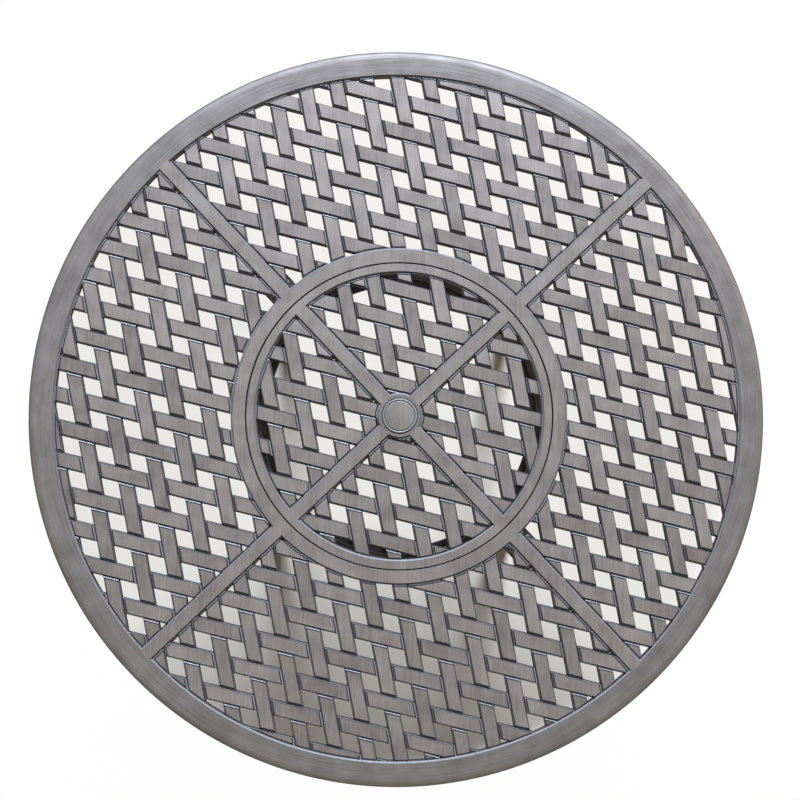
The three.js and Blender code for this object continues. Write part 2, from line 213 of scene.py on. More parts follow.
def add_node(tree, kind, inputs=None, **settings):
    """Adds a node with its settings. An input is a value or the socket that feeds it."""
    node = tree.nodes.new(kind)
    for name, value in settings.items():
        setattr(node, name, value)
    for key, value in (inputs or {}).items():
        if isinstance(value, bpy.types.NodeSocket):
            tree.links.new(value, node.inputs[key])
        else:
            node.inputs[key].default_value = value
    return node


def new_material(name):
    """A material with an empty node tree."""
    material = bpy.data.materials.new(name)
    material.use_nodes = True
    material.node_tree.nodes.clear()
    return material, material.node_tree


def grain_vector(tree, round_grain):
    """Place on the surface, with X across the brush strokes and Y along them."""
    place = add_node(tree, "ShaderNodeTexCoord").outputs["Object"]
    if not round_grain:
        return place
    split = add_node(tree, "ShaderNodeSeparateXYZ", {0: place})
    flat = add_node(tree, "ShaderNodeVectorMath", {0: place, 1: (1, 1, 0)}, operation="MULTIPLY")
    reach = add_node(tree, "ShaderNodeVectorMath", {0: flat.outputs[0]}, operation="LENGTH")
    turn = add_node(
        tree, "ShaderNodeMath", {0: split.outputs["Y"], 1: split.outputs["X"]}, operation="ARCTAN2"
    )
    along = add_node(
        tree, "ShaderNodeMath", {0: turn.outputs[0], 1: TABLE_RADIUS * MM}, operation="MULTIPLY"
    )
    joined = add_node(
        tree,
        "ShaderNodeCombineXYZ",
        {"X": reach.outputs["Value"], "Y": along.outputs[0], "Z": split.outputs["Z"]},
    )
    return joined.outputs[0]


def antique_metal(
    name,
    face,
    shade,
    glaze_and_shade,
    round_grain=False,
    stroke=STROKE,
    glaze_and_shade_from=-3.2,
    glaze_and_shade_to=-6.2,
    metallic=0.94,
    roughness=0.56,
    relief=0.35,
):
    """Cast aluminium, painted pewter, brushed by hand and glazed dark. The colour changes in fine
    strokes and broad patches.
    Below the top it runs to a darker colour: partly the glaze that the real finish keeps in its
    recesses, and partly painted shade in the grooves and under the top."""
    material, tree = new_material(name)
    vector = grain_vector(tree, round_grain)
    stroke_scale = [1 / (size * MM) for size in (stroke, STROKE_LENGTH, STROKE_HEIGHT)]
    stroke_place = add_node(tree, "ShaderNodeMapping", {"Vector": vector, "Scale": stroke_scale})
    strokes = add_node(
        tree,
        "ShaderNodeTexNoise",
        {"Vector": stroke_place.outputs[0], "Scale": 1, "Detail": 3, "Roughness": 0.6},
    )
    stroke_tone = add_node(
        tree,
        "ShaderNodeMapRange",
        {"Value": strokes.outputs["Fac"], "From Min": 0.3, "From Max": 0.7},
    )
    patches = add_node(
        tree,
        "ShaderNodeTexNoise",
        {"Vector": vector, "Scale": 1 / (PATCH * MM), "Detail": 4, "Roughness": 0.55},
    )
    patch_tone = add_node(
        tree,
        "ShaderNodeMapRange",
        {"Value": patches.outputs["Fac"], "From Min": 0.35, "From Max": 0.7},
    )
    stroke_part = add_node(
        tree, "ShaderNodeMath", {0: stroke_tone.outputs[0], 1: STROKE_SHARE}, operation="MULTIPLY"
    )
    surface_tone = add_node(
        tree,
        "ShaderNodeMath",
        {0: patch_tone.outputs[0], 1: 1 - STROKE_SHARE, 2: stroke_part.outputs[0]},
        operation="MULTIPLY_ADD",
    )
    strip_tone = add_node(tree, "ShaderNodeAttribute", attribute_name="tone")
    tone = add_node(
        tree,
        "ShaderNodeMath",
        {0: strip_tone.outputs["Fac"], 1: STRIP_TONE, 2: surface_tone.outputs[0]},
        operation="MULTIPLY_ADD",
        use_clamp=True,
    )
    paint = add_node(
        tree,
        "ShaderNodeMix",
        {"Factor": tone.outputs[0], FIRST: to_linear(face), SECOND: to_linear(shade)},
        data_type="RGBA",
    )
    place = add_node(tree, "ShaderNodeTexCoord").outputs["Object"]
    height = add_node(tree, "ShaderNodeSeparateXYZ", {0: place}).outputs["Z"]
    # Below the top the colour runs to the darker colour: partly glaze in the recesses, partly painted
    # shade in the grooves and under the top
    depth = add_node(
        tree,
        "ShaderNodeMapRange",
        {
            "Value": height,
            "From Min": (TABLE_TOP + glaze_and_shade_from) * MM,
            "From Max": (TABLE_TOP + glaze_and_shade_to) * MM,
        },
    )
    glaze_and_shade_mix = add_node(
        tree,
        "ShaderNodeMix",
        {"Factor": depth.outputs[0], FIRST: paint.outputs[MIXED], SECOND: to_linear(glaze_and_shade)},
        data_type="RGBA",
    )
    rough = add_node(
        tree,
        "ShaderNodeMapRange",
        {
            "Value": stroke_tone.outputs[0],
            "To Min": roughness - ROUGHNESS_BELOW,
            "To Max": roughness + ROUGHNESS_ABOVE,
        },
    )
    bump = add_node(
        tree,
        "ShaderNodeBump",
        {"Height": strokes.outputs["Fac"], "Strength": relief, "Distance": STROKE_RELIEF * MM},
    )
    shader = add_node(
        tree,
        "ShaderNodeBsdfPrincipled",
        {
            "Base Color": glaze_and_shade_mix.outputs[MIXED],
            "Metallic": metallic,
            "Roughness": rough.outputs[0],
            "Normal": bump.outputs[0],
        },
    )
    add_node(tree, "ShaderNodeOutputMaterial", {"Surface": shader.outputs[0]})
    return material


def plated_steel():
    """Zinc-plated steel from the press: grey and bright, with a faint cloudy bloom."""
    bloom_size = 9
    material, tree = new_material("zinc_plated_steel")
    place = add_node(tree, "ShaderNodeTexCoord").outputs["Object"]
    bloom = add_node(
        tree, "ShaderNodeTexNoise", {"Vector": place, "Scale": 1 / (bloom_size * MM), "Detail": 5}
    )
    colour = add_node(
        tree,
        "ShaderNodeMix",
        {
            "Factor": bloom.outputs["Fac"],
            FIRST: to_linear("#b4b7ba"),
            SECOND: to_linear("#9b9ea3"),
        },
        data_type="RGBA",
    )
    rough = add_node(
        tree,
        "ShaderNodeMapRange",
        {"Value": bloom.outputs["Fac"], "To Min": 0.28, "To Max": 0.5},
    )
    shader = add_node(
        tree,
        "ShaderNodeBsdfPrincipled",
        {"Base Color": colour.outputs[MIXED], "Metallic": 1, "Roughness": rough.outputs[0]},
    )
    add_node(tree, "ShaderNodeOutputMaterial", {"Surface": shader.outputs[0]})
    return material


def moulded_nylon():
    """Nylon from a spark-eroded mould: dull black with a fine even grain."""
    # The mould's grain is about 0.1 mm, and is drawn coarser so that it shows
    grain_size, grain_relief = 0.6, 0.05
    material, tree = new_material("moulded_nylon")
    place = add_node(tree, "ShaderNodeTexCoord").outputs["Object"]
    grain = add_node(
        tree, "ShaderNodeTexNoise", {"Vector": place, "Scale": 1 / (grain_size * MM), "Detail": 2}
    )
    colour = add_node(
        tree,
        "ShaderNodeMix",
        {
            "Factor": grain.outputs["Fac"],
            FIRST: to_linear("#232427"),
            SECOND: to_linear("#2f3033"),
        },
        data_type="RGBA",
    )
    bump = add_node(
        tree,
        "ShaderNodeBump",
        {"Height": grain.outputs["Fac"], "Strength": 0.3, "Distance": grain_relief * MM},
    )
    shader = add_node(
        tree,
        "ShaderNodeBsdfPrincipled",
        {
            "Base Color": colour.outputs[MIXED],
            "Roughness": 0.58,
            "IOR": 1.53,
            "Normal": bump.outputs[0],
        },
    )
    add_node(tree, "ShaderNodeOutputMaterial", {"Surface": shader.outputs[0]})
    return material


# Flats: a satin sheen with faint straight strokes in two greys. Below the top the colour runs to a
# dark brown, partly glaze and partly painted shade under the top.
brushed_pewter = antique_metal("brushed_pewter", "#8d867e", "#6b645d", "#4a4644")

# Rim and hub: brushed round and round, a little darker and duller, with finer strokes
brushed_pewter_round = antique_metal(
    "brushed_pewter_round",
    "#807a73",
    "#625c55",
    "#4a4644",
    round_grain=True,
    stroke=2.4,
    relief=0.1,
    metallic=0.92,
    roughness=0.66,
)

# Glaze left thick along an edge: nearly black and dull. Deeper below the top it is darker still,
# partly as painted shade.
dark_glaze = antique_metal("dark_glaze", "#211f1e", "#1a1918", "#131211", metallic=0, roughness=0.85)

# Slopes rubbed bright, and the sides and ends of the strips that face the key lamp, as the lit copy of
# the slopes (painted light): bright, down to a nearly black foot that is partly glaze and partly
# painted shade
rubbed_and_lit_pewter = antique_metal(
    "rubbed_and_lit_pewter",
    "#8f8a82",
    "#7e7971",
    "#1f1d1c",
    glaze_and_shade_from=-2.8,
    glaze_and_shade_to=-4.6,
    metallic=0,
    roughness=0.48,
)

# Bevels of the frame, and the sides and ends of the strips that face away from the key lamp, as the
# shaded copy of the slopes (painted shade): darker and duller, down to the same dark foot
bevel_and_shaded_pewter = antique_metal(
    "bevel_and_shaded_pewter",
    "#716b64",
    "#625e57",
    "#1f1d1c",
    glaze_and_shade_from=-2.8,
    glaze_and_shade_to=-4.6,
    metallic=0,
    roughness=0.6,
)

# Legs: wider strokes, with neither glaze nor painted shade at any height
satin_pewter = antique_metal(
    "satin_pewter",
    "#7f7974",
    "#67625c",
    "#67625c",
    glaze_and_shade_from=FAR_BELOW,
    glaze_and_shade_to=2 * FAR_BELOW,
    stroke=5,
)

TOP_FINISH = [brushed_pewter, dark_glaze, rubbed_and_lit_pewter, bevel_and_shaded_pewter]
ROUND_FINISH = [brushed_pewter_round, dark_glaze, rubbed_and_lit_pewter, bevel_and_shaded_pewter]
LEG_FINISH = [satin_pewter]
STEEL_FINISH = [plated_steel()]
NYLON_FINISH = [moulded_nylon()]


def filleted(corners):
    """Closed outline with its corners rounded. A corner is (x, y, radius)."""
    points = []
    for k, (x, y, radius) in enumerate(corners):
        here = Vector((x, y))
        if not radius:
            points.append(here)
            continue
        before = Vector(corners[k - 1][:2]) - here
        after = Vector(corners[(k + 1) % len(corners)][:2]) - here
        setback = min(
            radius / math.tan(before.angle(after) / 2),
            before.length / FILLET_SIDE_PARTS,
            after.length / FILLET_SIDE_PARTS,
        )
        first = here + before.normalized() * setback
        last = here + after.normalized() * setback
        for step in range(FILLET_STEPS + 1):
            t = step / FILLET_STEPS
            points.append(first * (1 - t) ** 2 + here * 2 * t * (1 - t) + last * t * t)
    return [(p.x, p.y) for p in points]


def turned_loops(bm, outline, segments):
    """Copies of an outline of (radius, height), evenly turned about Z."""
    loops = []
    for k in range(segments):
        turn = 2 * math.pi * k / segments
        c, s = math.cos(turn), math.sin(turn)
        loops.append([bm.verts.new((r * c, r * s, z)) for r, z in outline])
    return loops


def add_turned(bm, corners, segments):
    """Adds a round piece about Z from a closed outline of (radius, height, fillet)."""
    outline = filleted(corners)
    loops = turned_loops(bm, outline, segments)
    for k in range(segments):
        a, b = loops[k], loops[(k + 1) % segments]
        for i in range(len(outline)):
            j = (i + 1) % len(outline)
            bm.faces.new((a[i], b[i], b[j], a[j]))


def add_turned_solid(bm, corners, segments):
    """Adds a round solid about Z. Its outline starts and ends on the axis."""
    outline = filleted(corners)
    low = bm.verts.new((0, 0, outline[0][1]))
    high = bm.verts.new((0, 0, outline[-1][1]))
    loops = turned_loops(bm, outline[1:-1], segments)
    for k in range(segments):
        a, b = loops[k], loops[(k + 1) % segments]
        bm.faces.new((low, b[0], a[0]))
        bm.faces.new((high, a[-1], b[-1]))
        for i in range(len(a) - 1):
            bm.faces.new((a[i], b[i], b[i + 1], a[i + 1]))


def add_bar(bm, corners, start, end, turn):
    """Adds a bar that runs outwards over a closed outline of (across, height, fillet)."""
    outline = filleted(corners)
    c, s = math.cos(turn), math.sin(turn)
    ends = [
        [bm.verts.new((x * c - y * s, x * s + y * c, z)) for y, z in outline] for x in (start, end)
    ]
    for i in range(len(outline)):
        j = (i + 1) % len(outline)
        bm.faces.new((ends[0][i], ends[0][j], ends[1][j], ends[1][i]))
    bm.faces.new(ends[0])
    bm.faces.new(list(reversed(ends[1])))


def sharpen(bm):
    """Keeps an edge sharp where its faces meet at a clear angle, and smooths the rest."""
    for face in bm.faces:
        face.smooth = True
    for edge in bm.edges:
        if len(edge.link_faces) == 2:
            edge.smooth = edge.calc_face_angle() < SMOOTH_BELOW


def make_piece(name, bm, materials, body, node, height=TABLE_TOP):
    """Turns a mesh in millimetres into a piece that stands for a node and rides on its body.
    The mesh's zero is at a height above the floor."""
    bm.transform(Matrix.Translation((0, 0, height * MM)) @ Matrix.Scale(MM, 4))
    bmesh.ops.recalc_face_normals(bm, faces=bm.faces)
    sharpen(bm)
    mesh = bpy.data.meshes.new(name)
    bm.to_mesh(mesh)
    bm.free()
    for material in materials:
        mesh.materials.append(material)
    piece = bpy.data.objects.new(name, mesh)
    bpy.context.scene.collection.objects.link(piece)
    weighted = piece.modifiers.new("even_normals", "WEIGHTED_NORMAL")
    weighted.keep_sharp = True
    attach(piece, body)
    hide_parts(node)
    return piece


def paint_frame(bm):
    """Flats and undersides keep the brushed face. The bevels of a groove are duller, with a
    thin line of dark glaze left along the edge of the flat."""
    bmesh.ops.recalc_face_normals(bm, faces=bm.faces)
    for face in bm.faces:
        middle = face.calc_center_median().z
        if face.normal.z > FLAT_RISE or middle < -GROOVE_DEPTH:
            face.material_index = FACE
        elif face.normal.z > LINE_RISE:
            face.material_index = LINE
        else:
            face.material_index = EDGE


def cut(bm, point, normal, index):
    """Cuts off what lies beyond a plane and closes the cut."""
    found = bmesh.ops.bisect_plane(
        bm,
        geom=bm.verts[:] + bm.edges[:] + bm.faces[:],
        dist=CUT_REACH,
        plane_co=point,
        plane_no=normal,
        clear_outer=True,
    )
    edges = [e for e in found["geom_cut"] if isinstance(e, bmesh.types.BMEdge)]
    if len(edges) > 2:
        bmesh.ops.edgeloop_fill(bm, edges=edges, mat_nr=index)


def cut_ramp(bm, inward, distance, origin=Vector()):
    """Slopes a strip down to the groove at a distance along inward, which points into the panel.
    The second cut is the thin glazed line where the slope meets the flat."""
    rise = GROOVE_DEPTH - WEAVE_DROP
    foot = origin + inward * distance - UP * GROOVE_DEPTH
    cut(bm, foot, UP * RAMP_WIDTH - inward * rise, SLOPE)
    if bm.verts:
        edge = origin + inward * (distance + RAMP_WIDTH + LINE_WIDTH / 2) - UP * WEAVE_DROP
        cut(bm, edge, UP * LINE_WIDTH - inward * LINE_DEPTH, LINE)


def plank(middle, own_angle, other_angle):
    """One visible stretch of a strip: flat on top, sloped down its sides to the openings and
    down its ends to the strips that it passes under. The side and the end that face away from the key
    lamp get the darker finish, as painted shade, and the two that face the lamp get the brighter one."""
    own, other = flat_vector(own_angle), flat_vector(other_angle)
    own_normal, other_normal = Vector((-own.y, own.x, 0)), Vector((-other.y, other.x, 0))
    across = other / own_normal.dot(other)
    along = own / other_normal.dot(own)
    reach = WEAVE_PITCH * math.sin(SHALLOW_ANGLE - STEEP_ANGLE)
    end = reach - STRIP_HALF + END_TUCK
    flat_end = end - END_RAMP
    # From the underside up: height, half width, half length and sideways shift
    levels = [
        (-WEAVE_DROP - STRIP_DEPTH, STRIP_HALF, end + END_LAP, SIDE_SHIFT),
        (-WEAVE_DROP - SLOPE_DEPTH, SLOPE_HALF, end, SIDE_SHIFT),
        (-WEAVE_DROP - GLAZE_DEPTH, GLAZE_HALF, end - END_RAMP / 2, GLAZE_SHIFT),
        (-WEAVE_DROP - CREST_DROP, STRIP_FLAT_HALF + CREST_SIDE, flat_end + CREST_END, FLAT_SHIFT),
        (-WEAVE_DROP, STRIP_FLAT_HALF - CREST_INNER, flat_end - CREST_INNER, FLAT_SHIFT),
    ]
    # The side and the end that face away from the key lamp take the darker finish: painted shade
    glazed_level, shaded_sides = 2, (1, 2)
    bm = bmesh.new()
    signs = [(1, 1), (-1, 1), (-1, -1), (1, -1)]
    loops = [
        [bm.verts.new(middle + across * (p * a + w) + along * (q * b) + UP * z) for a, b in signs]
        for z, p, q, w in levels
    ]
    bm.faces.new(loops[0]).material_index = FACE
    bm.faces.new(loops[-1]).material_index = FACE
    for level, (low, high) in enumerate(zip(loops, loops[1:])):
        for side in range(len(signs)):
            after = (side + 1) % len(signs)
            face = bm.faces.new((low[side], low[after], high[after], high[side]))
            lit_or_shaded = EDGE if side in shaded_sides else SLOPE
            face.material_index = LINE if level >= glazed_level else lit_or_shaded
    return bm


def wedges(bm, step):
    """Turns at which a plank is split, so that it can follow a ring's edge."""
    turns = [math.atan2(v.co.y, v.co.x) for v in bm.verts]
    base = turns[0]
    turns = [base + math.remainder(t - base, 2 * math.pi) for t in turns]
    return range(math.floor(min(turns) / step), math.ceil(max(turns) / step))


def trimmed_planks(bm, turn, inner, outer, inner_step):
    """A plank cut to its panel: to the spokes beside it, the edge outside and the edge inside."""
    for side in (1, -1):
        cut_ramp(bm, flat_vector(turn - side * EIGHTH), SPOKE_GROOVE)
    if not bm.verts:
        return
    if max(v.co.xy.length for v in bm.verts) > outer - RAMP_WIDTH:
        for k in wedges(bm, RING_WEDGE):
            out = flat_vector((k + 0.5) * RING_WEDGE)
            cut_ramp(bm, -out, 0, out * outer)
            if not bm.verts:
                return
    if min(v.co.xy.length for v in bm.verts) > inner + WEAVE_PITCH:
        yield bm
        return
    for k in wedges(bm, inner_step):
        part = bm.copy()
        low, high = k * inner_step, (k + 1) * inner_step
        cut(part, Vector(), flat_vector(high + QUARTER), SEAM)
        if part.verts:
            cut(part, Vector(), flat_vector(low - QUARTER), SEAM)
        if part.verts:
            cut_ramp(part, flat_vector((low + high) / 2), inner)
        if part.verts:
            yield part


def kept_faces(part, places, verts):
    """Corners and slot of each face of a strip that shows, so no seams and no slivers. A new
    corner goes to verts, and places remembers it, so that the strip's faces share it."""
    for face in part.faces:
        if face.material_index == SEAM or face.calc_area() < LEAST_AREA:
            continue
        corners = []
        for vert in face.verts:
            key = tuple(round(c, PLACE_DIGITS) for c in vert.co)
            if key not in places:
                places[key] = len(verts)
                verts.append(key)
            if places[key] not in corners:
                corners.append(places[key])
        if len(corners) > 2:
            yield corners, face.material_index


def woven_panel(name, turn, inner, outer, inner_step, body, rng):
    """One panel of the weave, with every strip that shows between its spokes and its rings."""
    shallow = flat_vector(SHALLOW_ANGLE) * WEAVE_PITCH
    steep = flat_vector(STEEP_ANGLE) * WEAVE_PITCH
    reach = math.ceil(2 * outer / WEAVE_PITCH)
    out = flat_vector(turn)
    verts, faces, slots, tones = [], [], [], []
    for i in range(-reach, reach + 1):
        for j in range(-reach, reach + 1):
            middle = shallow * i + steep * j + WEAVE_CENTRE
            tone = rng.uniform(-1, 1)
            if middle.dot(out) < -WEAVE_PITCH or middle.length > outer + WEAVE_PITCH:
                continue
            if (i + j) % 2:
                bm = plank(middle, SHALLOW_ANGLE, STEEP_ANGLE)
            else:
                bm = plank(middle, STEEP_ANGLE, SHALLOW_ANGLE)
            places = {}
            for part in trimmed_planks(bm, turn, inner, outer, inner_step):
                for corners, slot in kept_faces(part, places, verts):
                    faces.append(corners)
                    slots.append(slot)
                    tones.append(tone)
    mesh = bpy.data.meshes.new(name)
    mesh.from_pydata(verts, [], faces)
    mesh.polygons.foreach_set("material_index", slots)
    mesh.attributes.new("tone", "FLOAT", "FACE").data.foreach_set("value", tones)
    bm = bmesh.new()
    bm.from_mesh(mesh)
    bpy.data.meshes.remove(mesh)
    return make_piece(name + "_woven", bm, TOP_FINISH, body, name)


def rim_piece():
    """Rim: a flat band that rolls over at the edge of the table, with a lip underneath."""
    inner = RIM_GROOVE_RADIUS
    lip = TABLE_RADIUS - RIM_WALL
    lip_round, lip_inner_round, root_round = 3.4, 2.4, 6
    bm = bmesh.new()
    add_turned(bm, [
        (inner - RIM_DRAFT, -CAST_DEPTH, 0),
        (inner + RIM_GROOVE_DRAFT, -GROOVE_DEPTH, 0),
        (inner + FLAT_TO_GROOVE, 0, LINE_FILLET),
        (TABLE_RADIUS, 0, RIM_ROLL),
        (TABLE_RADIUS, -RIM_DEPTH, lip_round),
        (lip, -RIM_DEPTH, lip_inner_round),
        (lip, -CAST_DEPTH, root_round),
    ], FINE_TURN)
    paint_frame(bm)
    for face in bm.faces:
        if face.calc_center_median().xy.length > inner + RIM_WIDTH / 2:
            face.material_index = FACE
    return make_piece("rim_rolled", bm, ROUND_FINISH, "frame", "rim")


def recess_ring_piece():
    """Ring round the turntable, with the wall of the recess and its ledge."""
    bottom = -RECESS_DEPTH - LEDGE_THICKNESS
    wall = RECESS_RADIUS + RECESS_WALL
    ledge = RECESS_RADIUS - LEDGE_WIDTH
    ledge_round, foot_round, root_round, skirt_round, lip_round = 1.4, 2.4, 3, 1.5, 1
    bm = bmesh.new()
    add_turned(bm, [
        (ledge, bottom, ledge_round),
        (wall, bottom, foot_round),
        (wall, -CAST_DEPTH, root_round),
        (RING_RADIUS - RING_DRAFT, -CAST_DEPTH, skirt_round),
        (RING_GROOVE_RADIUS + GROOVE_DRAFT, -GROOVE_DEPTH, 0),
        (RING_GROOVE_RADIUS - FLAT_TO_GROOVE, 0, LINE_FILLET),
        (RECESS_RADIUS, 0, lip_round),
        (RECESS_RADIUS, -RECESS_DEPTH, root_round),
        (ledge, -RECESS_DEPTH, ledge_round),
    ], FINE_TURN)
    paint_frame(bm)
    return make_piece("recess_ring_cast", bm, TOP_FINISH, "frame", "recess_ring")


def turntable_rim_piece():
    """Rim of the turntable: a flat band over the rollers' track, and the skirt inside it."""
    outer, skirt = RECESS_RADIUS - RECESS_GAP, SKIRT_INNER + SKIRT_WALL
    edge_round, band_round, root_round = 0.8, 1.2, 3
    bm = bmesh.new()
    add_turned(bm, [
        (SKIRT_INNER, SKIRT_BOTTOM, edge_round),
        (skirt, SKIRT_BOTTOM, edge_round),
        (skirt, -TURNTABLE_DEPTH, band_round),
        (outer, -TURNTABLE_DEPTH, band_round),
        (outer, 0, edge_round),
        (TURNTABLE_GROOVE_RADIUS + FLAT_TO_GROOVE, 0, LINE_FILLET),
        (TURNTABLE_GROOVE_RADIUS - GROOVE_DRAFT, -GROOVE_DEPTH, 0),
        (TURNTABLE_GROOVE_RADIUS - TURNTABLE_DRAFT, -CAST_DEPTH, root_round),
        (SKIRT_INNER, -CAST_DEPTH - TURNTABLE_ROOT, root_round),
    ], FINE_TURN)
    paint_frame(bm)
    return make_piece("turntable_rim_cast", bm, TOP_FINISH, "turntable", "turntable_rim")


def hub_piece():
    """Hub of the turntable, bored for the collar."""
    bore_round, foot_round, wall_round, seat_round = 1, 2, 3, 0.4
    bm = bmesh.new()
    add_turned(bm, [
        (HUB_BORE, -HUB_DEPTH, bore_round),
        (HUB_FOOT, -HUB_DEPTH, foot_round),
        (HUB_RADIUS - HUB_DRAFT, -TURNTABLE_SPOKE_DEPTH, wall_round),
        (HUB_GROOVE_RADIUS + GROOVE_DRAFT, -GROOVE_DEPTH, 0),
        (HUB_GROOVE_RADIUS - FLAT_TO_GROOVE, 0, LINE_FILLET),
        (HUB_SEAT_RADIUS + HUB_SEAT_CHAMFER, 0, seat_round),
        (HUB_SEAT_RADIUS, -HUB_SEAT_EDGE, 0),
        (HUB_SEAT_RADIUS, -HUB_SEAT_DEPTH, 0),
        (HUB_BORE, -HUB_SEAT_DEPTH, 0),
    ], SMALL_TURN)
    paint_frame(bm)
    return make_piece(
        "turntable_hub_cast", bm, ROUND_FINISH, "turntable", "turntable_hub"
    )


def collar_piece():
    """Collar of the umbrella hole: a sleeve under a flange with a raised bead."""
    bore, sleeve, depth, seat, shoulder = 25.4, 27.4, 34, 2.1, 0.6
    bead_inner, crest, bead_outer, bead_foot = 28.4, 30.4, 32.5, 0.3
    crest_half, outer_lean, inner_lean = 0.7, 0.3, 0.2
    sleeve_round, flange_round, foot_round, crest_round, bore_round = 0.6, 0.2, 0.5, 0.8, 0.3
    wiped_above = 0.25
    bm = bmesh.new()
    add_turned(bm, [
        (bore, -depth, sleeve_round),
        (sleeve, -depth, sleeve_round),
        (sleeve, -seat, 0),
        (COLLAR_RADIUS, -seat, 0),
        (COLLAR_RADIUS, -shoulder, flange_round),
        (bead_outer, -shoulder, 0),
        (bead_outer - outer_lean, bead_foot, foot_round),
        (crest + crest_half, BEAD_HEIGHT, crest_round),
        (crest - crest_half, BEAD_HEIGHT, crest_round),
        (bead_inner + inner_lean, bead_foot, foot_round),
        (bead_inner, -shoulder, 0),
        (bore, -shoulder, bore_round),
    ], SMALL_TURN)
    for face in bm.faces:
        face.material_index = SLOPE if face.calc_center_median().z > wiped_above else LINE
    return make_piece(
        "umbrella_collar_bead", bm, TOP_FINISH, "turntable", "umbrella_collar"
    )


def cap_piece():
    """Cap of the umbrella hole: a flat disc with a hollow plug under it."""
    disc, disc_flat, face_height, edge_height, disc_bottom = 27.8, 26.6, 0.8, -0.1, -0.7
    plug, plug_inner, plug_depth, thickness = 25.1, 22.6, 18, 2.5
    inner_round, plug_round, edge_round, disc_round, face_round = 0.8, 0.6, 0.2, 0.1, 0.4
    flat_rise = 0.97
    bm = bmesh.new()
    add_turned_solid(bm, [
        (0, face_height - thickness, 0),
        (plug_inner, face_height - thickness, inner_round),
        (plug_inner, -plug_depth, plug_round),
        (plug, -plug_depth, plug_round),
        (plug, disc_bottom, edge_round),
        (disc, disc_bottom, disc_round),
        (disc, edge_height, edge_round),
        (disc_flat, face_height, face_round),
        (0, face_height, 0),
    ], SMALL_TURN)
    bmesh.ops.recalc_face_normals(bm, faces=bm.faces)
    for face in bm.faces:
        face.material_index = FACE if face.normal.z > flat_rise else SLOPE
    return make_piece("umbrella_cap_disc", bm, TOP_FINISH, "cap", "umbrella_cap")


def solid_copy(node, below=None):
    """A copy of a node's solid in millimetres from the plane of the flats, or of what lies
    below a height there."""
    bm = bmesh.new()
    bm.from_mesh(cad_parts[node].data)
    bm.transform(Matrix.Scale(1 / MM, 4))
    bm.transform(Matrix.Translation((0, 0, -TABLE_TOP)))
    bmesh.ops.remove_doubles(bm, verts=bm.verts, dist=MERGE_REACH)
    bmesh.ops.dissolve_limit(bm, angle_limit=FLAT_WITHIN, verts=bm.verts, edges=bm.edges)
    if below is not None:
        cut(bm, Vector((0, 0, below)), UP, FACE)
    return bm


def soften(bm, width, segments=2):
    """Rounds the clear edges of a solid."""
    bm.normal_update()
    edges = [e for e in bm.edges if len(e.link_faces) == 2 and e.calc_face_angle() > SOFTEN_OVER]
    bmesh.ops.bevel(
        bm,
        geom=edges,
        offset=width,
        segments=segments,
        profile=0.5,
        affect="EDGES",
        clamp_overlap=True,
    )


def spoke_outline(depth):
    """Section of a spoke: flat on top, sloped to the groove, then a drafted wall."""
    right = [
        (SPOKE_HALF, -depth, 0),
        (SPOKE_HALF, -SPOKE_CUT, 0),
        (SPOKE_GROOVE, -GROOVE_DEPTH, 0),
        (SPOKE_GROOVE - FLAT_TO_GROOVE, SPOKE_SKIN, LINE_FILLET),
    ]
    return right + [(-x, y, r) for x, y, r in reversed(right)]


def spoke_pieces():
    """Spokes: those of the frame keep the foot of their solid, for what it holds."""
    for k, corner in enumerate(CORNERS):
        turn = EIGHTH + k * QUARTER
        node = f"spoke_{corner}"
        bm = solid_copy(node, below=-SPOKE_CUT)
        soften(bm, SPOKE_ROUND)
        add_bar(bm, spoke_outline(SPOKE_CUT + SPOKE_OVERLAP), SPOKE_START, SPOKE_END, turn)
        paint_frame(bm)
        make_piece(node + "_cast", bm, TOP_FINISH, "frame", node)
        node = f"turntable_spoke_{corner}"
        bm = bmesh.new()
        outline = spoke_outline(TURNTABLE_SPOKE_DEPTH)
        add_bar(bm, outline, TURNTABLE_SPOKE_START, TURNTABLE_SPOKE_END, turn)
        paint_frame(bm)
        make_piece(node + "_cast", bm, TOP_FINISH, "turntable", node)


def leg_pieces():
    """Legs: the castings with rounded edges and a shallow sunk panel on each side, each with
    its two bolts."""
    facing_aside, panel_area, panel_margin, panel_depth = 0.99, 9000, 6, 1.6
    edge_round, edge_steps, bolt_round = 2.2, 3, 0.5
    for k, corner in enumerate(CORNERS):
        node = f"leg_{corner}"
        aside = flat_vector(EIGHTH + k * QUARTER + QUARTER)
        bm = solid_copy(node)
        bm.normal_update()
        sides = [f for f in bm.faces if abs(f.normal.dot(aside)) > facing_aside]
        for face in [f for f in sides if f.calc_area() > panel_area]:
            bmesh.ops.inset_region(
                bm, faces=[face], thickness=panel_margin, depth=-panel_depth, use_even_offset=True
            )
        soften(bm, edge_round, edge_steps)
        make_piece(node + "_cast", bm, LEG_FINISH, "frame", node)
        for number in (1, 2):
            node = f"leg_bolt_{corner}_{number}"
            bm = solid_copy(node)
            soften(bm, bolt_round)
            make_piece(node + "_zinc", bm, STEEL_FINISH, "frame", node)


def glide_pieces():
    """Foot glides: moulded discs with a domed edge, each on a stem in its leg."""
    plate, stem, sole_margin, sole_rise = 6, 5, 1.2, 1.8
    sole_round, plate_round, stem_round = 1.2, 1.4, 0.6
    for corner in CORNERS:
        node = f"foot_glide_{corner}"
        low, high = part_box(node)
        middle = (low + high) / (2 * MM)
        radius, height = (high.x - low.x) / (2 * MM), (high.z - low.z) / MM
        bm = bmesh.new()
        add_turned_solid(bm, [
            (0, 0, 0),
            (radius - sole_margin, 0, sole_round),
            (radius, sole_rise, sole_round),
            (radius, plate, plate_round),
            (stem, plate, stem_round),
            (stem, height, stem_round),
            (0, height, 0),
        ], TINY_TURN)
        bm.transform(Matrix.Translation((middle.x, middle.y, 0)))
        make_piece(node + "_moulded", bm, NYLON_FINISH, "frame", node, height=0)


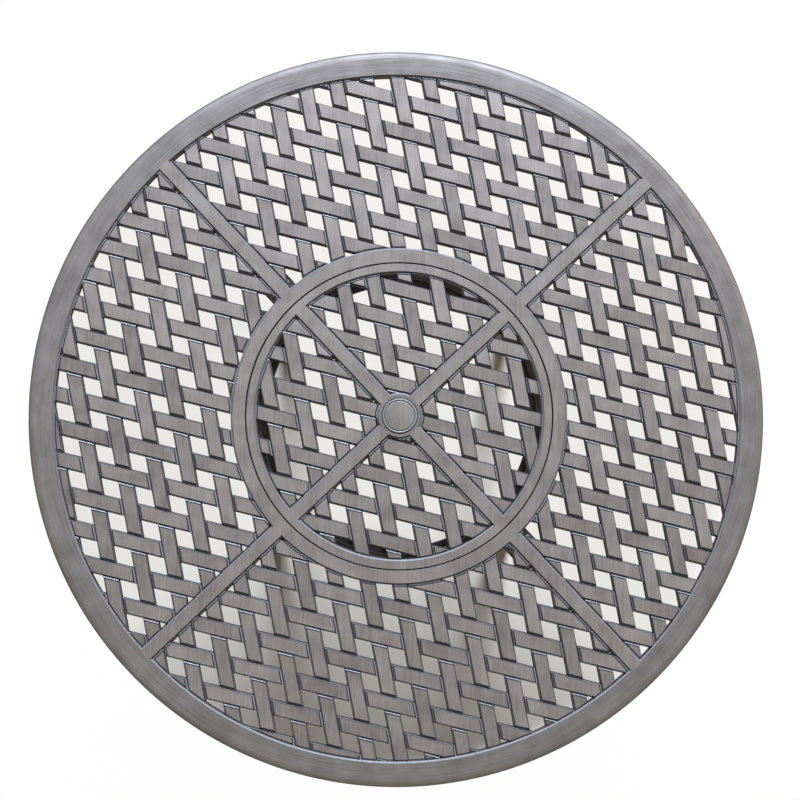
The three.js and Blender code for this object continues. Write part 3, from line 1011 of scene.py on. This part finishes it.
def roller_pieces():
    """Rollers on their pins, in pressed channels riveted to the ledge."""
    half, bore, bore_round, tread_round = 4, 2.8, 0.3, 1.2
    pin, head, reach, dome, dome_margin = 2.5, 4, 6.3, 1.2, 0.6
    end_round, head_round, dome_round, bracket_round = 0.5, 0.4, 0.9, 0.35
    for k in range(ROLLERS):
        node = f"roller_{k + 1}"
        low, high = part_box(node)
        middle = (low + high) / (2 * MM)
        turn = math.atan2(middle.y, middle.x)
        stand = (
            Matrix.Translation((middle.x, middle.y, middle.z - TABLE_TOP))
            @ Matrix.Rotation(turn, 4, "Z")
            @ Matrix.Rotation(QUARTER, 4, "Y")
        )
        radius = (high.z - low.z) / (2 * MM)
        bm = bmesh.new()
        add_turned(bm, [
            (bore, -half, bore_round),
            (radius, -half, tread_round),
            (radius, half, tread_round),
            (bore, half, bore_round),
        ], TINY_TURN)
        bm.transform(stand)
        make_piece(node + "_tyre", bm, NYLON_FINISH, node, node)
        bm = bmesh.new()
        add_turned_solid(bm, [
            (0, -reach, 0),
            (pin, -reach, end_round),
            (pin, reach, 0),
            (head, reach, head_round),
            (head - dome_margin, reach + dome, dome_round),
            (0, reach + dome, 0),
        ], TINY_TURN)
        bm.transform(stand)
        axle = f"roller_axle_{k + 1}"
        make_piece(axle + "_pin", bm, STEEL_FINISH, "frame", axle)
        bracket = f"roller_bracket_{k + 1}"
        bm = solid_copy(bracket)
        soften(bm, bracket_round)
        make_piece(bracket + "_pressed", bm, STEEL_FINISH, "frame", bracket)


def weave_pieces():
    """The panels of the weave, outside the ring and in the turntable. Each strip gets a tone of
    its own."""
    rng = random.Random(WEAVE_SEED)
    for k, side in enumerate(SIDES):
        turn = k * QUARTER
        woven_panel(
            f"lattice_{side}", turn, RING_GROOVE_RADIUS, RIM_GROOVE_RADIUS, RING_WEDGE, "frame", rng
        )
        woven_panel(
            f"turntable_lattice_{side}",
            turn,
            HUB_GROOVE_RADIUS,
            TURNTABLE_GROOVE_RADIUS,
            HUB_WEDGE,
            "turntable",
            rng,
        )


def seen_rays(tree):
    """1 for the rays that show the background: from the camera, and off metal or glass."""
    path = add_node(tree, "ShaderNodeLightPath")
    first = add_node(
        tree,
        "ShaderNodeMath",
        {0: path.outputs["Is Camera Ray"], 1: path.outputs["Is Glossy Ray"]},
        operation="MAXIMUM",
    )
    both = add_node(
        tree,
        "ShaderNodeMath",
        {0: first.outputs[0], 1: path.outputs["Is Transmission Ray"]},
        operation="MAXIMUM",
    )
    return both.outputs[0]


def add_floor():
    """Pale floor that keeps the table's shadow and fades to the white background. It has one
    side only, so that the table can be seen from below."""
    # In metres
    half, fade_from, fade_to = 40, 0.83, 0.905
    corners = [(-half, -half, 0), (half, -half, 0), (half, half, 0), (-half, half, 0)]
    mesh = bpy.data.meshes.new("floor")
    mesh.from_pydata(corners, [], [range(len(corners))])
    floor = bpy.data.objects.new("floor", mesh)
    bpy.context.scene.collection.objects.link(floor)
    material, tree = new_material("matt_painted_floor")
    place = add_node(tree, "ShaderNodeTexCoord").outputs["Object"]
    reach = add_node(tree, "ShaderNodeVectorMath", {0: place}, operation="LENGTH")
    share = add_node(
        tree,
        "ShaderNodeMapRange",
        {
            "Value": reach.outputs["Value"],
            "From Min": fade_from,
            "From Max": fade_to,
            "To Min": FLOOR_GLOW_UNDER,
            "To Max": FLOOR_GLOW_AROUND,
        },
        interpolation_type="SMOOTHSTEP",
    )
    seen = add_node(
        tree, "ShaderNodeMath", {0: seen_rays(tree), 1: share.outputs[0]}, operation="MULTIPLY"
    )
    paint = add_node(tree, "ShaderNodeBsdfDiffuse", {"Color": to_linear("#daccb2")})
    white = add_node(tree, "ShaderNodeEmission", {"Color": WHITE, "Strength": 1})
    mix = add_node(
        tree, "ShaderNodeMixShader", {0: seen.outputs[0], 1: paint.outputs[0], 2: white.outputs[0]}
    )
    clear = add_node(tree, "ShaderNodeBsdfTransparent")
    underside = add_node(tree, "ShaderNodeNewGeometry").outputs["Backfacing"]
    one_sided = add_node(
        tree, "ShaderNodeMixShader", {0: underside, 1: mix.outputs[0], 2: clear.outputs[0]}
    )
    add_node(tree, "ShaderNodeOutputMaterial", {"Surface": one_sided.outputs[0]})
    mesh.materials.append(material)


def add_world():
    """Soft even light from all round, on a background that shows white."""
    world = bpy.data.worlds.new("studio")
    bpy.context.scene.world = world
    world.use_nodes = True
    tree = world.node_tree
    tree.nodes.clear()
    soft = add_node(tree, "ShaderNodeBackground", {"Color": to_linear("#ffe2c6"), "Strength": AMBIENT})
    white = add_node(tree, "ShaderNodeBackground", {"Color": WHITE, "Strength": 1})
    mix = add_node(
        tree, "ShaderNodeMixShader", {0: seen_rays(tree), 1: soft.outputs[0], 2: white.outputs[0]}
    )
    add_node(tree, "ShaderNodeOutputWorld", {"Surface": mix.outputs[0]})


def add_lamp(name, turn, elevation, distance, size, watts, colour):
    """Round soft box that faces the foot of the table. Turn and elevation are in degrees from
    the right and from the floor, and distance and size in metres."""
    data = bpy.data.lights.new(name, "AREA")
    data.shape = "DISK"
    data.size = size
    data.energy = watts
    data.color = to_linear(colour)[:3]
    lamp = bpy.data.objects.new(name, data)
    bpy.context.scene.collection.objects.link(lamp)
    rise = math.radians(elevation)
    out = flat_vector(math.radians(turn)) * math.cos(rise) + UP * math.sin(rise)
    lamp.location = out * distance
    lamp.rotation_euler = out.to_track_quat("Z", "Y").to_euler()


def add_camera():
    """Camera above the table, where the photograph was taken from."""
    place, tilt_degrees = (-61.6, -36.1, 2769.7), (1.785, -1.772, 1.716)
    data = bpy.data.cameras.new("camera")
    data.sensor_width = 36
    data.lens = 49.5
    data.clip_end = 200
    camera = bpy.data.objects.new("camera", data)
    camera.location = [length * MM for length in place]
    camera.rotation_euler = [math.radians(angle) for angle in tilt_degrees]
    bpy.context.scene.collection.objects.link(camera)
    bpy.context.scene.camera = camera


add_camera()
add_world()
add_floor()

# A low cool lamp behind the table shades the flats and throws the shadow. The other is weak and
# warm, from the right.
add_lamp("key", turn=88.5, elevation=30.2, distance=20, size=5.4, watts=13600, colour="#cfdfff")
add_lamp("fill", turn=30, elevation=12, distance=6, size=2.4, watts=110, colour="#fff6ee")

rim_piece()
recess_ring_piece()
turntable_rim_piece()
hub_piece()
collar_piece()
cap_piece()
spoke_pieces()
weave_pieces()
leg_pieces()
glide_pieces()
roller_pieces()

bpy.context.scene.view_settings.view_transform = "Standard"
bpy.context.view_layer.update()
